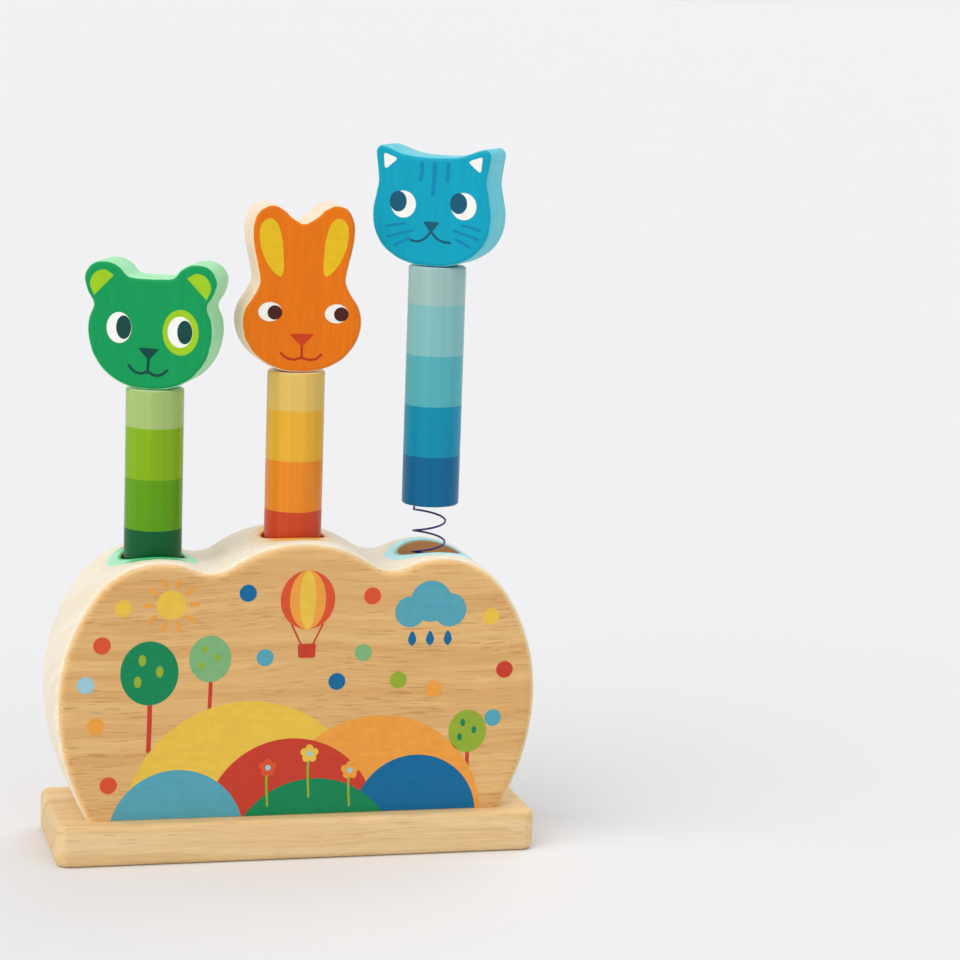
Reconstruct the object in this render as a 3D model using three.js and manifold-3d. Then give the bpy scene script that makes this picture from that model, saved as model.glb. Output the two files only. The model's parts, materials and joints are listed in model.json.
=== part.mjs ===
// Wooden pop-up toy: a bear, a rabbit and a cat on pegs that ride on springs in a scalloped block.
// Millimetres. X runs along the toy, Y from front to back with the front at -Y, and Z is up.
// The origin is the centre of the base plate's underside.

import * as THREE from 'three';
import { mergeVertices } from 'three/addons/utils/BufferGeometryUtils.js';
import Module from 'manifold-3d';

const wasm = await Module();
wasm.setup();

// Block, with its three lobes, its cheeks at the ends and its narrower foot
const pegPitch = 54;
const blockDepth = 45;
const blockEdgeRounding = 4;
const cheekHeight = 45;
const cheekBulge = 7.5;
const footInset = 12;
const sideLobeRadius = 31.5;
const sideLobeRise = 23;
const middleLobeRadius = 48;
const middleLobeRise = 13;
const valleyRadius = 14;
const boreFloorThickness = 11.5;

// Base plate
const plateThickness = 16;
const plateEndLedge = 12;
const plateSideLedge = 6.5;
const plateCornerRadius = 5;
const plateEdgeRounding = 2.5;

// Countersunk screws that hold the block down on the plate
const screwLength = 32;
const screwHeadDiameter = 8;
const screwHeadHeight = 2.6;
const screwHeadRecess = 0.5;
const screwShankDiameter = 3.5;
const screwTipLength = 4;
const screwHoleGap = 0.5;
const crossLength = 4.4;
const crossWidth = 1.1;
const crossDepth = 1.8;

// Pegs, and how they stand in or over the block
const pegDiameter = 22;
const pegLength = 92;
const pegEdgeRounding = 0.9;
const boreGap = 1;
const seatedDepth = 29.5;
const poppedHeight = 17;

// Springs
const wireDiameter = 0.8;
const springRadius = 6.2;
const wireBendRadius = 1.6;
const legSocketDepth = 6;
const springCurls = 12;
const curlSteps = 8;
const bendSteps = 4;
const wireSides = 5;
const legAngle = Math.PI;

// Dowels that join each head to its peg
const dowelDiameter = 8;
const dowelLength = 26;
const dowelEdgeChamfer = 0.8;

// Heads
const bearHeadWidth = 51.2;
const bearHeadHeight = 47.5;
const rabbitHeadWidth = 46.2;
const rabbitHeadHeight = 63;
const catHeadWidth = 48;
const catHeadHeight = 44.8;
const headThickness = 18;
const headEdgeRounding = 1.6;
const headOutlineSteps = 60;

// Gap between pieces that fit together, and how far a cutter runs past what it cuts
const fitGap = 0.3;
const cutOverrun = 1;

// Roundness
const arcStep = THREE.MathUtils.degToRad(6);
const roundingSteps = 3;
const cornerSteps = 4;
const boreSides = 40;
const pegSides = 36;
const dowelSides = 20;
const screwSides = 20;
const socketSides = 10;

// Half outlines of the heads, from the middle of the brow round the ear to the chin. The first
// number is a share of half the head's width, the second a share of its height.
const bearOutlineShares = [
  [0, 0.876], [0.254, 0.880], [0.340, 0.892], [0.455, 0.956], [0.648, 1], [0.883, 0.973],
  [1, 0.880], [0.961, 0.762], [0.861, 0.657], [0.930, 0.547], [0.945, 0.432], [0.867, 0.263],
  [0.688, 0.126], [0.449, 0.034], [0.215, -0.021],
];
const rabbitOutlineShares = [
  [0, 0.890], [0.182, 0.922], [0.338, 0.973], [0.519, 1], [0.727, 0.973], [0.844, 0.889],
  [0.840, 0.770], [0.762, 0.635], [0.727, 0.540], [0.805, 0.470], [0.952, 0.384], [1, 0.289],
  [0.918, 0.175], [0.706, 0.078], [0.455, 0.022], [0.238, -0.016],
];
const catOutlineShares = [
  [0, 0.920], [0.313, 0.926], [0.563, 0.953], [0.762, 0.991], [0.895, 1], [0.962, 0.962],
  [0.946, 0.848], [0.917, 0.703], [0.954, 0.589], [1, 0.446], [0.967, 0.295], [0.825, 0.156],
  [0.583, 0.058], [0.354, 0.007], [0.208, -0.023],
];

// The three figures, from left to right
const figures = [
  {
    name: 'bear', place: -1, popped: false, yaw: THREE.MathUtils.degToRad(-24),
    headWidth: bearHeadWidth, headHeight: bearHeadHeight, outlineShares: bearOutlineShares,
    headColour: '#19a45c', pegColour: '#9cc81c',
  },
  {
    name: 'rabbit', place: 0, popped: false, yaw: 0,
    headWidth: rabbitHeadWidth, headHeight: rabbitHeadHeight, outlineShares: rabbitOutlineShares,
    headColour: '#e87a14', pegColour: '#efb932',
  },
  {
    name: 'cat', place: 1, popped: true, yaw: THREE.MathUtils.degToRad(-34),
    headWidth: catHeadWidth, headHeight: catHeadHeight, outlineShares: catOutlineShares,
    headColour: '#08a8c4', pegColour: '#6cc6cc',
  },
];

// Sizes that follow from the ones above
const sideLobeHeight = cheekHeight + sideLobeRise;
const middleLobeHeight = cheekHeight + middleLobeRise;
const sideLobeTop = sideLobeHeight + sideLobeRadius;
const middleLobeTop = middleLobeHeight + middleLobeRadius;
const boreDepth = sideLobeTop - boreFloorThickness;
const boreRadius = pegDiameter / 2 + boreGap;
const cheekHalfWidth = pegPitch + sideLobeRadius + cheekBulge;
const footHalfWidth = cheekHalfWidth - footInset;
const plateHalfLength = footHalfWidth + plateEndLedge;
const plateHalfDepth = blockDepth / 2 + plateSideLedge;
const outerScrewPlace = (pegPitch + boreRadius + footHalfWidth) / 2;
const screwPlaces = [-outerScrewPlace, -pegPitch / 2, pegPitch / 2, outerScrewPlace];
const dowelHoleRadius = dowelDiameter / 2 + fitGap;
const dowelHoleDepth = dowelLength / 2 + fitGap;
const socketRadius = wireDiameter / 2 + fitGap;
const pilotRadius = screwShankDiameter / 2 + fitGap;
const pilotDepth = screwHeadRecess + screwLength + fitGap - plateThickness;

// A closed geometry as a solid that can be cut and joined
function solidFrom(geometry) {
  geometry.deleteAttribute('normal');
  geometry.deleteAttribute('uv');
  const merged = mergeVertices(geometry);
  const corners = merged.index.array;
  const triangles = [];
  for (let i = 0; i < corners.length; i += 3) {
    const [a, b, c] = [corners[i], corners[i + 1], corners[i + 2]];
    if (a !== b && b !== c && c !== a) triangles.push(a, b, c);
  }
  return new wasm.Manifold(new wasm.Mesh({
    numProp: 3,
    vertProperties: Float32Array.from(merged.attributes.position.array),
    triVerts: Uint32Array.from(triangles),
  }));
}

// A solid as a geometry again
function geometryFrom(solid) {
  const mesh = solid.getMesh();
  const geometry = new THREE.BufferGeometry();
  geometry.setAttribute('position', new THREE.BufferAttribute(mesh.vertProperties, 3));
  geometry.setIndex(new THREE.BufferAttribute(mesh.triVerts, 1));
  geometry.computeVertexNormals();
  return geometry;
}

// A named piece with a finish of its own
function piece(name, geometry, color, roughness, metalness = 0) {
  const material = new THREE.MeshStandardMaterial({ color, roughness, metalness, flatShading: true });
  const mesh = new THREE.Mesh(geometry, material);
  mesh.name = name;
  return mesh;
}

// Points of an arc in a plane, from one angle to another
function arcPoints(centre, radius, fromAngle, toAngle, steps = arcSteps(fromAngle, toAngle)) {
  return Array.from({ length: steps + 1 }, (_, i) => {
    const angle = fromAngle + (toAngle - fromAngle) * i / steps;
    return new THREE.Vector2(
      centre.x + radius * Math.cos(angle),
      centre.y + radius * Math.sin(angle),
    );
  });
}

// How many steps a large arc takes between two angles
function arcSteps(fromAngle, toAngle) {
  return Math.max(roundingSteps, Math.ceil(Math.abs(toAngle - fromAngle) / arcStep));
}

// Angle of the way from one point to another
function angleTo(from, to) {
  return Math.atan2(to.y - from.y, to.x - from.x);
}

// A solid of revolution about Z, from a profile of radii and heights that runs upwards
function turned(profile, sides) {
  const points = profile.map(([radius, height]) => new THREE.Vector2(radius, height));
  const geometry = new THREE.LatheGeometry(points, sides);
  geometry.rotateX(Math.PI / 2);
  return solidFrom(geometry);
}

// A round rod or hole between two heights
function rod(radius, bottom, top, sides) {
  return turned([[0, bottom], [radius, bottom], [radius, top], [0, top]], sides);
}

// An outline in the plane of X and Z, made into a board of a thickness centred on Y, with round edges
function board(outline, thickness, rounding) {
  const depth = thickness - 2 * rounding;
  const geometry = new THREE.ExtrudeGeometry(new THREE.Shape(outline), {
    depth, steps: 1, bevelEnabled: true, bevelSegments: roundingSteps,
    bevelThickness: rounding, bevelSize: rounding, bevelOffset: -rounding,
  });
  geometry.rotateX(Math.PI / 2);
  geometry.translate(0, depth / 2, 0);
  return solidFrom(geometry);
}

// A cutter that takes away everything below Z = 0 from a board
function underside(halfWidth, thickness, drop) {
  const geometry = new THREE.BoxGeometry(2 * halfWidth, thickness + 2 * cutOverrun, drop);
  geometry.translate(0, 0, -drop / 2);
  return solidFrom(geometry);
}

// Outline of the block: arcs that run on smoothly into each other, right half first
function blockOutline(drop) {
  const cheekReach = cheekBulge + sideLobeRadius;
  const shoulderRadius = (cheekReach ** 2 + sideLobeRise ** 2 - sideLobeRadius ** 2) / (2 * cheekBulge);
  const flankRadius = (footInset ** 2 + cheekHeight ** 2) / (2 * footInset);
  const flankCentre = new THREE.Vector2(cheekHalfWidth - flankRadius, cheekHeight);
  const shoulderCentre = new THREE.Vector2(cheekHalfWidth - shoulderRadius, cheekHeight);
  const sideCentre = new THREE.Vector2(pegPitch, sideLobeHeight);
  const middleCentre = new THREE.Vector2(0, middleLobeHeight);
  const valleyCentre = valleyBetween(middleCentre, sideCentre);
  const lowestAngle = -Math.asin((cheekHeight + drop) / flankRadius);
  const shoulderEnd = angleTo(shoulderCentre, sideCentre);
  const rightHalf = [
    ...arcPoints(flankCentre, flankRadius, lowestAngle, 0),
    ...arcPoints(shoulderCentre, shoulderRadius, 0, shoulderEnd).slice(1),
    ...arcPoints(sideCentre, sideLobeRadius, shoulderEnd, angleTo(sideCentre, valleyCentre)).slice(1),
    ...arcPoints(valleyCentre, valleyRadius, angleTo(valleyCentre, sideCentre),
      angleTo(valleyCentre, middleCentre)).slice(1),
    ...arcPoints(middleCentre, middleLobeRadius, angleTo(middleCentre, valleyCentre), Math.PI / 2).slice(1),
  ];
  const leftHalf = rightHalf.slice(0, -1).reverse().map((point) => new THREE.Vector2(-point.x, point.y));
  return [...rightHalf, ...leftHalf];
}

// Centre of the hollow arc that touches the middle lobe and a side lobe from above
function valleyBetween(middleCentre, sideCentre) {
  const toMiddle = middleLobeRadius + valleyRadius;
  const toSide = sideLobeRadius + valleyRadius;
  const apart = middleCentre.distanceTo(sideCentre);
  const along = (toMiddle ** 2 - toSide ** 2 + apart ** 2) / (2 * apart);
  const across = Math.sqrt(toMiddle ** 2 - along ** 2);
  const way = sideCentre.clone().sub(middleCentre).divideScalar(apart);
  return new THREE.Vector2(
    middleCentre.x + way.x * along - way.y * across,
    middleCentre.y + way.y * along + way.x * across,
  );
}

// Top of the lobe and floor of the bore under a figure, above the block's underside
function lobeTop(figure) {
  return figure.place === 0 ? middleLobeTop : sideLobeTop;
}

function boreFloor(figure) {
  return lobeTop(figure) - boreDepth;
}

// The block, its three bores, the spring sockets in their floors and the pilot holes for the screws
function makeBlock() {
  const drop = blockEdgeRounding + cutOverrun;
  let solid = board(blockOutline(drop), blockDepth, blockEdgeRounding);
  solid = solid.subtract(underside(cheekHalfWidth, blockDepth, drop + cutOverrun));
  for (const figure of figures) {
    const x = figure.place * pegPitch;
    const floor = boreFloor(figure);
    const bore = rod(boreRadius, floor, lobeTop(figure) + cutOverrun, boreSides);
    const socket = rod(socketRadius, floor - legSocketDepth, floor + cutOverrun, socketSides);
    solid = solid.subtract(bore.translate([x, 0, 0]));
    solid = solid.subtract(socket.translate([x + springRadius * Math.cos(legAngle), 0, 0]));
  }
  for (const x of screwPlaces) {
    solid = solid.subtract(rod(pilotRadius, -cutOverrun, pilotDepth, screwSides).translate([x, 0, 0]));
  }
  const mesh = piece('block', geometryFrom(solid), '#d7ac6e', 0.55);
  mesh.position.z = plateThickness;
  return mesh;
}

// The base plate, with a countersunk hole for each screw
function makePlate() {
  const inX = plateHalfLength - plateCornerRadius;
  const inY = plateHalfDepth - plateCornerRadius;
  const corners = [[1, 1], [-1, 1], [-1, -1], [1, -1]];
  const outline = corners.flatMap(([sideX, sideY], i) => arcPoints(
    new THREE.Vector2(sideX * inX, sideY * inY), plateCornerRadius, i * Math.PI / 2, (i + 1) * Math.PI / 2,
    cornerSteps,
  ));
  const geometry = new THREE.ExtrudeGeometry(new THREE.Shape(outline), {
    depth: plateThickness - 2 * plateEdgeRounding, steps: 1, bevelEnabled: true,
    bevelSegments: roundingSteps, bevelThickness: plateEdgeRounding,
    bevelSize: plateEdgeRounding, bevelOffset: -plateEdgeRounding,
  });
  geometry.translate(0, 0, plateEdgeRounding);
  let solid = solidFrom(geometry);
  const sinkRadius = screwHeadDiameter / 2 + fitGap;
  const holeRadius = screwShankDiameter / 2 + screwHoleGap;
  const hole = turned([
    [0, -cutOverrun],
    [sinkRadius, -cutOverrun],
    [sinkRadius, screwHeadRecess],
    [holeRadius, screwHeadRecess + screwHeadHeight],
    [holeRadius, plateThickness + cutOverrun],
    [0, plateThickness + cutOverrun],
  ], screwSides);
  for (const x of screwPlaces) solid = solid.subtract(hole.translate([x, 0, 0]));
  return piece('base_plate', geometryFrom(solid), '#ebc896', 0.55);
}

// A countersunk screw, driven up from below, with a cross recess in its head
function makeScrew(number, x) {
  let solid = turned([
    [0, 0],
    [screwHeadDiameter / 2, 0],
    [screwShankDiameter / 2, screwHeadHeight],
    [screwShankDiameter / 2, screwLength - screwTipLength],
    [0, screwLength],
  ], screwSides);
  solid = solid.subtract(solidFrom(new THREE.BoxGeometry(crossLength, crossWidth, 2 * crossDepth)));
  solid = solid.subtract(solidFrom(new THREE.BoxGeometry(crossWidth, crossLength, 2 * crossDepth)));
  const mesh = piece(`base_screw_${number}`, geometryFrom(solid), '#b9bcc0', 0.35, 1);
  mesh.position.set(x, 0, screwHeadRecess);
  return mesh;
}

// A peg: a dowel with rounded rims, a hole for the head dowel and a socket for the spring's leg
function makePeg(figure) {
  const radius = pegDiameter / 2;
  const inner = radius - pegEdgeRounding;
  const lowerCentre = new THREE.Vector2(inner, pegEdgeRounding);
  const upperCentre = new THREE.Vector2(inner, pegLength - pegEdgeRounding);
  const rims = [
    ...arcPoints(lowerCentre, pegEdgeRounding, -Math.PI / 2, 0, roundingSteps),
    ...arcPoints(upperCentre, pegEdgeRounding, 0, Math.PI / 2, roundingSteps),
  ].map((point) => [point.x, point.y]);
  const dowelHole = rod(dowelHoleRadius, pegLength - dowelHoleDepth, pegLength + cutOverrun, dowelSides);
  const angle = legAngle - figure.yaw;
  const socket = rod(socketRadius, -cutOverrun, legSocketDepth, socketSides).translate([
    springRadius * Math.cos(angle), springRadius * Math.sin(angle), 0,
  ]);
  const solid = turned([[0, 0], ...rims, [0, pegLength]], pegSides).subtract(dowelHole).subtract(socket);
  return piece(`${figure.name}_peg`, geometryFrom(solid), figure.pegColour, 0.3);
}

// A head: a flat animal face with round edges, cut flat at the chin and drilled for its dowel
function makeHead(figure) {
  const half = figure.outlineShares.map(([across, up]) => (
    new THREE.Vector3(across * figure.headWidth / 2, up * figure.headHeight, 0)
  ));
  const otherHalf = half.slice(1).reverse().map((point) => new THREE.Vector3(-point.x, point.y, 0));
  const curve = new THREE.CatmullRomCurve3([...half, ...otherHalf], true, 'centripetal');
  const outline = curve.getSpacedPoints(headOutlineSteps).slice(1);
  const dowelHole = rod(dowelHoleRadius, -cutOverrun, dowelHoleDepth, dowelSides);
  const solid = board(outline, headThickness, headEdgeRounding)
    .subtract(underside(figure.headWidth / 2, headThickness, headEdgeRounding + cutOverrun))
    .subtract(dowelHole);
  const mesh = piece(`${figure.name}_head`, geometryFrom(solid), figure.headColour, 0.45);
  mesh.position.z = pegLength + fitGap;
  return mesh;
}

// The dowel between a head and its peg
function makeDowel(figure) {
  const radius = dowelDiameter / 2;
  const solid = turned([
    [0, 0],
    [radius - dowelEdgeChamfer, 0],
    [radius, dowelEdgeChamfer],
    [radius, dowelLength - dowelEdgeChamfer],
    [radius - dowelEdgeChamfer, dowelLength],
    [0, dowelLength],
  ], dowelSides);
  const mesh = piece(`${figure.name}_head_dowel`, geometryFrom(solid), '#dcb884', 0.6);
  mesh.position.z = pegLength + (fitGap - dowelLength) / 2;
  return mesh;
}

// Centre line of a spring between two faces a height apart. Unrolled onto a flat sheet, the wire is a
// straight slope between two rounded corners, and each leg runs straight on into its socket.
function springPath(height) {
  const run = 2 * Math.PI * springRadius * springCurls;
  const corner = wireDiameter + wireBendRadius;
  const slope = Math.atan2(height - 2 * corner, run);
  const reach = wireBendRadius * Math.tan((Math.PI / 2 - slope) / 2);
  const legLength = legSocketDepth - fitGap;
  const bendCentre = new THREE.Vector2(wireBendRadius, corner - reach);
  const flat = [new THREE.Vector2(0, -legLength), new THREE.Vector2(0, 0)];
  for (let i = 0; i <= bendSteps; i += 1) {
    const angle = Math.PI - (Math.PI / 2 - slope) * i / bendSteps;
    flat.push(new THREE.Vector2(
      bendCentre.x + wireBendRadius * Math.cos(angle),
      bendCentre.y + wireBendRadius * Math.sin(angle),
    ));
  }
  const steps = springCurls * curlSteps;
  const lowerHalf = [...flat];
  for (let i = 1; i < steps; i += 1) {
    const along = run * i / steps;
    flat.push(new THREE.Vector2(along, corner + along * Math.tan(slope)));
  }
  for (const point of lowerHalf.reverse()) flat.push(new THREE.Vector2(run - point.x, height - point.y));
  return flat.map((point) => {
    const angle = legAngle + point.x / springRadius;
    return new THREE.Vector3(springRadius * Math.cos(angle), springRadius * Math.sin(angle), point.y);
  });
}

// A wire along a path: a ring of corners at each point, turned as little as possible from ring to ring
function wireAlong(path) {
  const positions = [];
  const indices = [];
  const side = new THREE.Vector3(1, 0, 0);
  path.forEach((point, i) => {
    const before = path[Math.max(i - 1, 0)];
    const after = path[Math.min(i + 1, path.length - 1)];
    const way = after.clone().sub(before).normalize();
    side.addScaledVector(way, -side.dot(way)).normalize();
    const up = way.clone().cross(side);
    for (let k = 0; k < wireSides; k += 1) {
      const angle = 2 * Math.PI * k / wireSides;
      const corner = point.clone()
        .addScaledVector(side, Math.cos(angle) * wireDiameter / 2)
        .addScaledVector(up, Math.sin(angle) * wireDiameter / 2);
      positions.push(corner.x, corner.y, corner.z);
    }
  });
  for (let i = 0; i + 1 < path.length; i += 1) {
    for (let k = 0; k < wireSides; k += 1) {
      const here = i * wireSides + k;
      const next = i * wireSides + (k + 1) % wireSides;
      indices.push(here, next, here + wireSides, next, next + wireSides, here + wireSides);
    }
  }
  const last = (path.length - 1) * wireSides;
  for (let k = 1; k + 1 < wireSides; k += 1) {
    indices.push(0, k + 1, k);
    indices.push(last, last + k, last + k + 1);
  }
  const geometry = new THREE.BufferGeometry();
  geometry.setAttribute('position', new THREE.Float32BufferAttribute(positions, 3));
  geometry.setIndex(indices);
  geometry.computeVertexNormals();
  return geometry;
}

// Least gap between stretches of a wire that lie at least half a curl apart along it
function leastGap(path) {
  let least = Infinity;
  const line = new THREE.Line3();
  const nearest = new THREE.Vector3();
  for (let i = 0; i < path.length; i += 1) {
    for (let j = i + curlSteps / 2; j + 1 < path.length; j += 1) {
      line.set(path[j], path[j + 1]).closestPointToPoint(path[i], true, nearest);
      least = Math.min(least, nearest.distanceTo(path[i]) - wireDiameter);
    }
  }
  return least;
}

// A spring between the floor of a bore and the end of its peg
function makeSpring(figure, height) {
  const path = springPath(height);
  console.log(`${figure.name}_spring: least gap to itself ${leastGap(path).toFixed(2)} mm`);
  return piece(`${figure.name}_spring`, wireAlong(path), '#2a2a4a', 0.35, 0.9);
}

// The stand: base plate, block and screws
const stand = new THREE.Group();
stand.add(makePlate(), makeBlock());
screwPlaces.forEach((x, i) => stand.add(makeScrew(i + 1, x)));

// Each figure turns about its peg's axis and rides on its spring. Two wait in their bores with part of
// the peg inside, and the third has popped up clear of the block.
const toy = new THREE.Group();
toy.add(stand);
for (const figure of figures) {
  const mouth = plateThickness + lobeTop(figure);
  const floor = plateThickness + boreFloor(figure);
  const pegBottom = figure.popped ? mouth + poppedHeight : mouth - seatedDepth;
  const lift = new THREE.Group();
  lift.position.set(figure.place * pegPitch, 0, floor);
  lift.add(makeSpring(figure, pegBottom - floor));
  const turning = new THREE.Group();
  turning.position.z = pegBottom - floor;
  turning.rotation.z = figure.yaw;
  turning.add(makePeg(figure), makeHead(figure), makeDowel(figure));
  lift.add(turning);
  toy.add(lift);
}

export default toy;
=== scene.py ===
# A wooden pop-up toy: a bear, a rabbit and a cat on striped pegs that ride on springs in the bores of
# a scalloped block. Metres, with +Z up and the front at -Y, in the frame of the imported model.

import json
import math

import bmesh
import bpy
from mathutils import Matrix, Vector


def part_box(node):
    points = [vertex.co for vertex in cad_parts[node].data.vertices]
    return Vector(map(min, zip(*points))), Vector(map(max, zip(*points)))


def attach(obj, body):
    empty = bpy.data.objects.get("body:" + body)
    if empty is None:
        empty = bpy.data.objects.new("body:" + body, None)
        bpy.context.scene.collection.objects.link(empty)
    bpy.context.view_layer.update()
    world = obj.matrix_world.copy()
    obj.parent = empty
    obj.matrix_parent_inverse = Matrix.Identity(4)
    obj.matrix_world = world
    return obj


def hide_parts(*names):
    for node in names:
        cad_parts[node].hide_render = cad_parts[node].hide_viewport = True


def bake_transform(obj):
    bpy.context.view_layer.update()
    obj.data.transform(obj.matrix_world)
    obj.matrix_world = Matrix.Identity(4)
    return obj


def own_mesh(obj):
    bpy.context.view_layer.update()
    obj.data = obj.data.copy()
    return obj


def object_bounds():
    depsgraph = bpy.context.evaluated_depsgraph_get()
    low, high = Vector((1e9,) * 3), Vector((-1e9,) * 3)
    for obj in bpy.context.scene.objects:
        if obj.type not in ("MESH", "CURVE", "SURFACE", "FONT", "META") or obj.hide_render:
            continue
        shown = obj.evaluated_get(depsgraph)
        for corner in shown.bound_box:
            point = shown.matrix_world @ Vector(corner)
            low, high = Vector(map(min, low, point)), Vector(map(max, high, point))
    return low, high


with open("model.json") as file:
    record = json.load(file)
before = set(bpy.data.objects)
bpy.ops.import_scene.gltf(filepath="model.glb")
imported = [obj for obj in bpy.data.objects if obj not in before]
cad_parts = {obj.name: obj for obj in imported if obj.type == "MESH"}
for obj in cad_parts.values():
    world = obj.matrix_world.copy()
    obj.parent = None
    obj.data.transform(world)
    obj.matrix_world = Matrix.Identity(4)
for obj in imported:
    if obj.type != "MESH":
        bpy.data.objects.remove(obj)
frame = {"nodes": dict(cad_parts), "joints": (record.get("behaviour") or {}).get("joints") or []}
cad_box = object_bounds()

MM = 0.001


def mirrored(points):
    """The same points on the other side of the middle."""
    return [(-across, up) for across, up in points]


# Block: lobes, cheeks, foot and edges
PEG_PITCH = 54 * MM
BLOCK_EDGE = 4 * MM
CHEEK_HEIGHT = 45 * MM
CHEEK_BULGE = 7.5 * MM
FOOT_INSET = 12 * MM
SIDE_LOBE_RADIUS = 31.5 * MM
SIDE_LOBE_RISE = 23 * MM
MIDDLE_LOBE_RADIUS = 48 * MM
MIDDLE_LOBE_RISE = 13 * MM
VALLEY_RADIUS = 14 * MM
BORE_GAP = 1 * MM
BORE_LIP = 0.8 * MM
RING_WIDTH = 5.35 * MM

# Paint round the bores, and the warm brown inside them that is partly bare wood and partly painted shade:
# how far the paint's edges waver, where each fades past the ring's and the bore's rims, and how well each
# covers
RING_WAVER = 2.2 * MM
RING_FADE = (-0.5 * MM, 0.6 * MM)
BORE_FADE = (0.05 * MM, 0.35 * MM)
RING_COVER, BORE_COVER = 0.9, 0.85

# Base plate and its screw holes
PLATE_CORNER = 5 * MM
PLATE_EDGE = 2.5 * MM
SCREW_HEAD_RADIUS = 4 * MM
SCREW_HEAD_HEIGHT = 2.6 * MM
SCREW_SHANK_RADIUS = 1.75 * MM
SCREW_HOLE_GAP = 0.5 * MM

# Pegs, with their bands from the top and how far the bands' edges waver
PEG_RADIUS = 11 * MM
PEG_EDGE = 0.9 * MM
TOP_BAND = 14.5 * MM
LOWER_BANDS = 4
BAND_WAVER = 0.5 * MM

# Grain: how far a tree's heart is from the middle of what is sawn from it, along each axis, how far the
# fibres sway, and waves to the metre along and across them
PITH_DISTANCE = 130 * MM
GRAIN_SWAY = 5 * MM
SWAY_WAVES = (14, 14)
RING_WAVES = (5, 210)
FIBRE_WAVES = (60, 1500)
PORE_WAVES = (85, 1500)
PATCH_WAVES = (20, 60)

# Springs
WIRE_RADIUS = 0.4 * MM
SPRING_RADIUS = 6.2 * MM
WIRE_BEND = 1.6 * MM
LEG_SOCKET = 6 * MM
SPRING_CURLS = 12
LEG_ANGLE = math.pi

# Heads, the edge of the paint on their faces, and the dowels that hold them
HEAD_THICKNESS = 18 * MM
HEAD_EDGE = 1.6 * MM
HEAD_PAINT_INSET = 0.5 * MM
HEAD_PAINT_WAVER = 0.9 * MM
HEAD_PAINT_FADE = 0.15 * MM
DOWEL_RADIUS = 4 * MM
DOWEL_LENGTH = 26 * MM

# Thickness of a coat of paint or ink, how deep it goes in, the clearance between fitted pieces and
# between pieces that touch, and how far a cut runs past a face
INK_STEP = 0.02 * MM
INK_DEPTH = 0.2 * MM
FIT_GAP = 0.3 * MM
TOUCH_GAP = FIT_GAP / 10
OVERRUN = 1 * MM

# Waves to the metre of each pattern in paint, metal and paper, along the three axes
GLOSS_WAVES = (90, 90, 90)
RING_EDGE_WAVES = (260, 260, 260)
HEAD_EDGE_WAVES = (180, 180, 180)
BAND_EDGE_WAVES = (120, 120, 40)
MOTTLE_WAVES = (300, 300, 300)
STREAK_WAVES = (90, 900, 1100)
BRUSH_WAVES = (420, 420, 9)
CLOUD_WAVES = (350, 350, 350)
MARK_WAVES = (900, 900, 900)
PAPER_WAVES = (6, 6, 6)

# Limits of the smooth steps in most noise
NOISE_LIMITS = (0.3, 0.7)

# Roughness of each kind of surface, at its shiniest and at its dullest
BLOCK_GLOSS = (0.36, 0.5)
WOOD_GLOSS = (0.38, 0.52)
INK_GLOSS = (0.4, 0.52)
PEG_GLOSS = (0.26, 0.38)

# How dark and how light fibres or brush marks make each kind of surface
BLOCK_SHADES = (0.92, 1.06)
WOOD_SHADES = (0.93, 1.05)
HEAD_SHADES = (0.95, 1.05)
INK_SHADES = (0.97, 1.03)
PEG_SHADES = (0.93, 1.05)

# Depth and strength of each kind of surface's relief
WOOD_RELIEF = (0.05 * MM, 0.5)
HEAD_RELIEF = (0.04 * MM, 0.4)
INK_RELIEF = (0.02 * MM, 0.4)
PEG_RELIEF = (0.02 * MM, 0.3)
METAL_RELIEF = (0.01 * MM, 0.5)

# A flat rim next to a board's rounded edge, as a share of the edge
FLAT_RIM_SHARE = 0.1

# Faces that meet at more than this angle have a sharp edge
SHARP_ANGLE = math.radians(32)
WIRE_SHARP_ANGLE = math.radians(60)

# Sides or steps of the round forms
ROUND_SIDES = 96
ARC_STEP = math.radians(1.5)
CORNER_STEPS = 6
STROKE_STEPS = 10
STROKE_END_STEPS = 8
SHORT_STROKE_STEPS = 3
OVAL_STEPS = 56
DOT_STEPS = 40
PETAL_STEPS = 28
LEAF_STEPS = 24
LOOP_STEPS = 8
HILL_STEPS = 60
HEAD_OUTLINE_STEPS = 9
BLOCK_EDGE_STEPS = 8
BOARD_EDGE_STEPS = 6
PLATE_CORNER_STEPS = 12
LIP_STEPS = 5
SCREW_HOLE_SIDES = 48
DOWEL_HOLE_SIDES = 40
PILOT_HOLE_SIDES = 24
LEG_HOLE_SIDES = 16
COIL_STEPS = 32
WIRE_BEND_STEPS = 8
WIRE_SIDES = 10

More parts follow.
